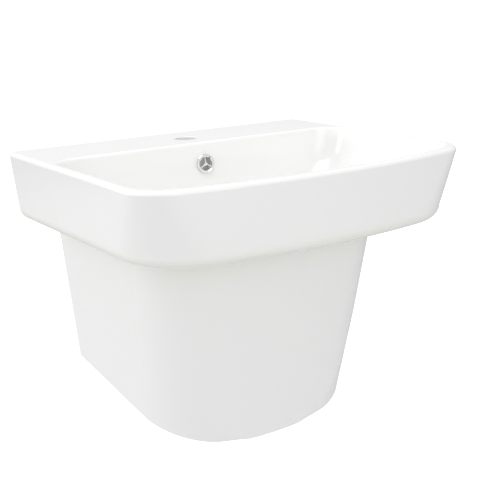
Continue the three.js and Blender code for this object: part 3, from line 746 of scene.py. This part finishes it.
def ribbed_nut(name, radius, bore, neck, low, high, lip_low, place):
    lip = 2.5
    if lip_low:
        section = [(neck, low), (radius, low), (radius, high), (bore, high),
                   (bore, low + lip), (neck, low + lip)]
    else:
        section = [(bore, low), (radius, low), (radius, high), (neck, high),
                   (neck, high - lip), (bore, high - lip)]
    nut = turned(name, rounded(section, 0.7), 96, place)
    ribs = []
    for i in range(12):
        rib = box_solid("rib", (-1.5, -1.3, low + 2), (1.5, 1.3, high - 2))
        bevel_edges(rib, 0.6)
        angle = i * TAU / 12
        rib.data.transform(scaled_place(
            place @ Matrix.Rotation(angle, 4, "Z") @ Matrix.Translation((radius, 0, 0))))
        ribs.append(rib)
    return carve(nut, *ribs, join=True)


def waste_set():
    waste_fitting()
    seal = ring_profile(TAIL_RADIUS + 1, FLANGE_RADIUS - 2, SEAT_Z + GAP, SEAT_Z + GAP + 2)
    fit_piece(on_drain("flange_ring", seal), "flange_seal", slot="rubber")
    top = BOSS_Z - GAP
    gasket = rounded([(TAIL_RADIUS + GAP, top - 9), (29, top - 9), (34, top - 5), (34, top),
                      (TAIL_RADIUS + GAP, top)], 0.8)
    fit_piece(on_drain("boss_gasket", gasket), "lower_gasket", slot="rubber")
    washer = top - 9 - GAP
    slip = ring_profile(TAIL_RADIUS + GAP, 31, washer - 1.8, washer)
    fit_piece(on_drain("slip_ring", slip), "slip_washer", slot="nylon")


def plug():
    cap = [(0, CAP_LOW_Z), (27, CAP_LOW_Z), (30.5, CAP_LOW_Z + 0.8)]
    cap += [(31, CAP_LOW_Z + 2), (30, CAP_LOW_Z + 3.2)]
    for k in range(1, 17):
        radius = 30 * (1 - k / 16)
        cap.append((radius, CAP_LOW_Z + 3.2 + 3.4 * (1 - (radius / 30) ** 2)))
    fit_piece(on_drain("plug_dome", rounded(cap, 0.5)), "plug_cap", "plug")
    low = CAP_LOW_Z - GAP
    fit_piece(on_drain("plug_ring", rounded([(18.5, low - 2.3), (23.5, low - 2.3), (25.5, low),
                                             (18.5, low)], 0.4)),
              "plug_seal", "plug", "rubber")
    fit_piece(on_drain("plug_spindle", rounded([
        (0, CARTRIDGE_Z - 8), (3.2, CARTRIDGE_Z - 8), (3.8, CARTRIDGE_Z - 7), (3.8, STEM_COLLAR_Z),
        (8, STEM_COLLAR_Z), (8, STEM_COLLAR_Z + 2), (3.8, STEM_COLLAR_Z + 2), (3.8, low - 3),
        (10, low), (0, low)], 0.4), 64),
        "plug_stem", "plug", "nylon")


def plug_coil():
    """The spring round the stem, between the cartridge and the stem's collar. On the real plug it shortens as
    the plug goes down; here it is built at one fixed length."""
    wire_radius, coil_radius, turns = 0.55, 5.6, 6
    low, high = CARTRIDGE_Z + 10 + GAP, STEM_COLLAR_Z - GAP
    climb = high - low - 2 * wire_radius
    steps, sides = turns * 28, 10
    rings = []
    for i in range(steps + 1):
        along = math.tau * turns * i / steps
        ring = []
        for k in range(sides):
            around = math.tau * k / sides
            radius = coil_radius + wire_radius * math.cos(around)
            ring.append((radius * math.cos(along), DRAIN_Y + radius * math.sin(along),
                         low + wire_radius + climb * i / steps - wire_radius * math.sin(around)))
        rings.append(ring)
    coil = skin("plug_coil", rings, strips=False)
    fit_piece(coil, "plug_spring", slot="spring_steel", angle=60)
    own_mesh(coil)


def trap():
    washer = TAIL_END_Z - GAP
    cone = ring_profile(TAIL_INNER, TAIL_RADIUS - 0.6, washer - 2, washer)
    fit_piece(on_drain("inlet_ring", cone), "inlet_washer", slot="rubber")
    collar = washer - 2 - GAP
    fit_piece(on_drain("inlet_tube", rounded([
        (PIPE_INNER, DIP_END_Z), (PIPE_RADIUS, DIP_END_Z), (PIPE_RADIUS, collar - 3),
        (TAIL_RADIUS - 0.6, collar - 2),
        (TAIL_RADIUS - 0.6, collar), (PIPE_INNER, collar)], 0.4)), "trap_inlet_tube")
    nut_low = collar - 3 - 2.5 - GAP * 2
    fit_piece(ribbed_nut("inlet_coupling", 25, TAIL_RADIUS + GAP, PIPE_RADIUS + GAP, nut_low, nut_low + 22, True,
                         pose_at(0, DRAIN_Y, 0)), "inlet_nut")
    head_low = OUTLET_Z - 34
    head_top = OUTLET_Z + 24
    section = [(PIPE_RADIUS + GAP, head_top), (PIPE_RADIUS + GAP, head_top - 4), (HEAD_RADIUS - 3, head_top - 6),
               (HEAD_RADIUS - 3, head_low), (HEAD_RADIUS, head_low), (HEAD_RADIUS, head_top - 4),
               (HEAD_RADIUS - 4, head_top)]
    head = turned("trap_head", rounded(section, 1.2), 96, pose_at(0, DRAIN_Y, 0))
    spigot = turned("spigot", rounded([(0, HEAD_RADIUS - 6), (20, HEAD_RADIUS - 6), (20, SPIGOT_END),
                                       (0, SPIGOT_END)], 0.8), 96,
                    pose_at(0, DRAIN_Y, OUTLET_Z, -math.pi / 2))
    chamber = turned("chamber", [(0, head_low - 1), (HEAD_RADIUS - 3, head_low - 1),
                                 (HEAD_RADIUS - 3, head_top - 6), (0, head_top - 6)],
                     96, pose_at(0, DRAIN_Y, 0))
    bore = turned("bore", [(0, 15), (PIPE_RADIUS + GAP, 15), (PIPE_RADIUS + GAP, SPIGOT_END + 1),
                           (0, SPIGOT_END + 1)], 96,
                  pose_at(0, DRAIN_Y, OUTLET_Z, -math.pi / 2))
    carve(spigot, chamber)
    carve(head, spigot, join=True)
    carve(head, bore)
    fit_piece(head, "trap_body")
    lip, inner = head_low + 13, CUP_RADIUS - 3.4
    fit_piece(on_drain("trap_bottle", rounded([
        (0, CUP_BOTTOM_Z), (CUP_RADIUS - 8, CUP_BOTTOM_Z), (CUP_RADIUS - 2, CUP_BOTTOM_Z + 3),
        (CUP_RADIUS, CUP_BOTTOM_Z + 9), (CUP_RADIUS, lip), (inner, lip), (inner, head_low - 3),
        (inner - 3, head_low - 3), (inner - 3, CUP_BOTTOM_Z + 10),
        (CUP_RADIUS - 10, CUP_BOTTOM_Z + 3.5), (0, CUP_BOTTOM_Z + 3)], 1.0, 5)), "trap_cup", "cup")
    seal = head_low - GAP
    cup_ring = ring_profile(inner - 3 + GAP, inner - GAP, seal - 2.1, seal)
    fit_piece(on_drain("bottle_ring", cup_ring), "cup_seal", "cup", "rubber")


def outlet():
    def laid(name, profile, y):
        return turned(name, profile, 96, pose_at(0, y, OUTLET_Z, -math.pi / 2))

    end = DRAIN_Y + SPIGOT_END
    start = end - 16
    fit_piece(laid("waste_pipe", ring_profile(PIPE_INNER, PIPE_RADIUS, 0, -start), start), "outlet_pipe")
    fit_piece(laid("outlet_ring", rounded([(PIPE_RADIUS + GAP, 0), (20, 0), (18.5, 4),
                                           (PIPE_RADIUS + GAP, 4)], 0.4), end + GAP),
              "outlet_washer", slot="rubber")
    fit_piece(ribbed_nut("outlet_coupling", 24, 20 + GAP, PIPE_RADIUS + GAP, 0, 20, False,
                         pose_at(0, end - 12.6, OUTLET_Z, -math.pi / 2)), "outlet_nut")
    fit_piece(laid("cover_plate", rounded([
        (PIPE_RADIUS + GAP, 0), (PIPE_RADIUS + 3, 0), (PIPE_RADIUS + 5, 5), (36, 11), (37, 13), (33, 13),
        (PIPE_RADIUS + 3, 8), (PIPE_RADIUS + GAP, 8)], 1.2, 5), -13.4), "wall_rosette")


def wall_fixings():
    seat = -BACK_WALL - GAP
    for side, x in (("left", -BOLT_HALF_SPACING), ("right", BOLT_HALF_SPACING)):
        def away(name, profile, y):
            return turned(f"{name}_{side}", profile, 64, pose_at(x, y, 0, math.pi / 2))

        fit_piece(away("stud", rounded([(0, 0), (BOLT_RADIUS, 0), (BOLT_RADIUS, 39),
                                        (BOLT_RADIUS - 1, 40), (0, 40)], 0.3), 0),
                  f"hanger_bolt_{side}", slot="zinc", mat=THREADED_ZINC)
        fit_piece(away("sleeve", rounded([(BOLT_RADIUS + GAP, -BACK_WALL + 2), (BOLT_BORE - GAP, -BACK_WALL + 2),
                                          (BOLT_BORE - GAP, 0), (15, 0), (15, 3), (BOLT_RADIUS + GAP, 3)], 0.4), seat),
                  f"bolt_sleeve_{side}", slot="nylon")
        fit_piece(away("washer", ring_profile(BOLT_RADIUS + GAP, 13, 0, 2), seat - 3 - GAP),
                  f"bolt_washer_{side}", slot="zinc")
        fit_piece(away("cap", rounded([(0, 22), (10, 22), (12.4, 18), (13, 0), (11.4, 0), (10.6, 17.5),
                                       (9, 20), (0, 20)], 0.8, 4),
                       seat - 5 - 3 * GAP), f"bolt_cap_{side}", slot="nylon")


def carried_over():
    """CAD nodes that keep their own mesh get eased edges, smooth shading and their finish."""
    for node, slot, width in (("waste_backnut", "brass", 0.8), ("click_cartridge", "nylon", 0.3),
                              ("bolt_nut_left", "zinc", 0.6), ("bolt_nut_right", "zinc", 0.6)):
        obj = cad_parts[node]
        dress(obj, SLOTS[slot])
        obj.data.polygons.foreach_set("use_smooth", [True] * len(obj.data.polygons))
        obj.data.set_sharp_from_angle(angle=math.radians(35))
        bevel = obj.modifiers.new("eased", "BEVEL")
        bevel.width = width * MM
        bevel.segments = 3
        bevel.limit_method = "ANGLE"
        bevel.angle_limit = math.radians(40)
        bevel.harden_normals = True


# ---------------------------------------------------------------- studio
def studio():
    bpy.context.scene.view_settings.view_transform = "Standard"
    world = bpy.data.worlds.new("studio")
    bpy.context.scene.world = world
    world.use_nodes = True
    nodes, links = world.node_tree.nodes, world.node_tree.links
    background = nodes["Background"]
    background.inputs["Color"].default_value = (1, 1, 1, 1)
    background.inputs["Strength"].default_value = WORLD_LIGHT
    white = nodes.new("ShaderNodeBackground")
    white.inputs["Color"].default_value = (1, 1, 1, 1)
    white.inputs["Strength"].default_value = WORLD_SEEN
    path = nodes.new("ShaderNodeLightPath")
    mix = nodes.new("ShaderNodeMixShader")
    links.new(path.outputs["Is Camera Ray"], mix.inputs[0])
    links.new(background.outputs[0], mix.inputs[1])
    links.new(white.outputs[0], mix.inputs[2])
    links.new(mix.outputs[0], nodes["World Output"].inputs[0])

    ends = ((-1, -1), (1, -1), (1, 1), (-1, 1))
    square = [(x * FLOOR_REACH, y * FLOOR_REACH, FLOOR_LEVEL) for x, y in ends]
    floor = mesh_object("floor", square, [(0, 1, 2, 3)])
    pale = material("floor", FLOOR_COLOR, 0.9, Emission_Color=(1, 1, 1, 1))
    seen = pale.node_tree.nodes.new("ShaderNodeLightPath").outputs["Is Camera Ray"]
    wire(pale, combine(pale, "MULTIPLY", seen, FLOOR_GLOW), "Emission Strength")
    dress(floor, pale)

    for name, spot, aim, size, power in LIGHTS:
        light = bpy.data.lights.new(name, "AREA")
        light.shape = "RECTANGLE"
        light.size, light.size_y = size
        light.energy = power
        obj = bpy.data.objects.new(name, light)
        obj.location = spot
        obj.rotation_euler = (Vector(aim) - Vector(spot)).to_track_quat("-Z", "Y").to_euler()
        bpy.context.scene.collection.objects.link(obj)


def camera():
    azimuth, elevation, roll = (math.radians(v) for v in CAMERA_TURN)
    back = Vector((math.sin(azimuth) * math.cos(elevation),
                   -math.cos(azimuth) * math.cos(elevation),
                   math.sin(elevation)))
    x = Vector((0, 0, 1)).cross(back).normalized()
    y = back.cross(x)
    x, y = x * math.cos(roll) + y * math.sin(roll), y * math.cos(roll) - x * math.sin(roll)
    data = bpy.data.cameras.new("camera")
    data.sensor_width = 36
    data.lens = CAMERA_LENS
    data.shift_x, data.shift_y = CAMERA_SHIFT
    obj = bpy.data.objects.new("camera", data)
    obj.matrix_world = Matrix.Translation(CAMERA_SPOT) @ Matrix((x, y, back)).transposed().to_4x4()
    bpy.context.scene.collection.objects.link(obj)
    bpy.context.scene.camera = obj


basin_casting()
overflow_trim()
waste_set()
plug()
plug_coil()
trap()
outlet()
wall_fixings()
carried_over()
studio()
camera()
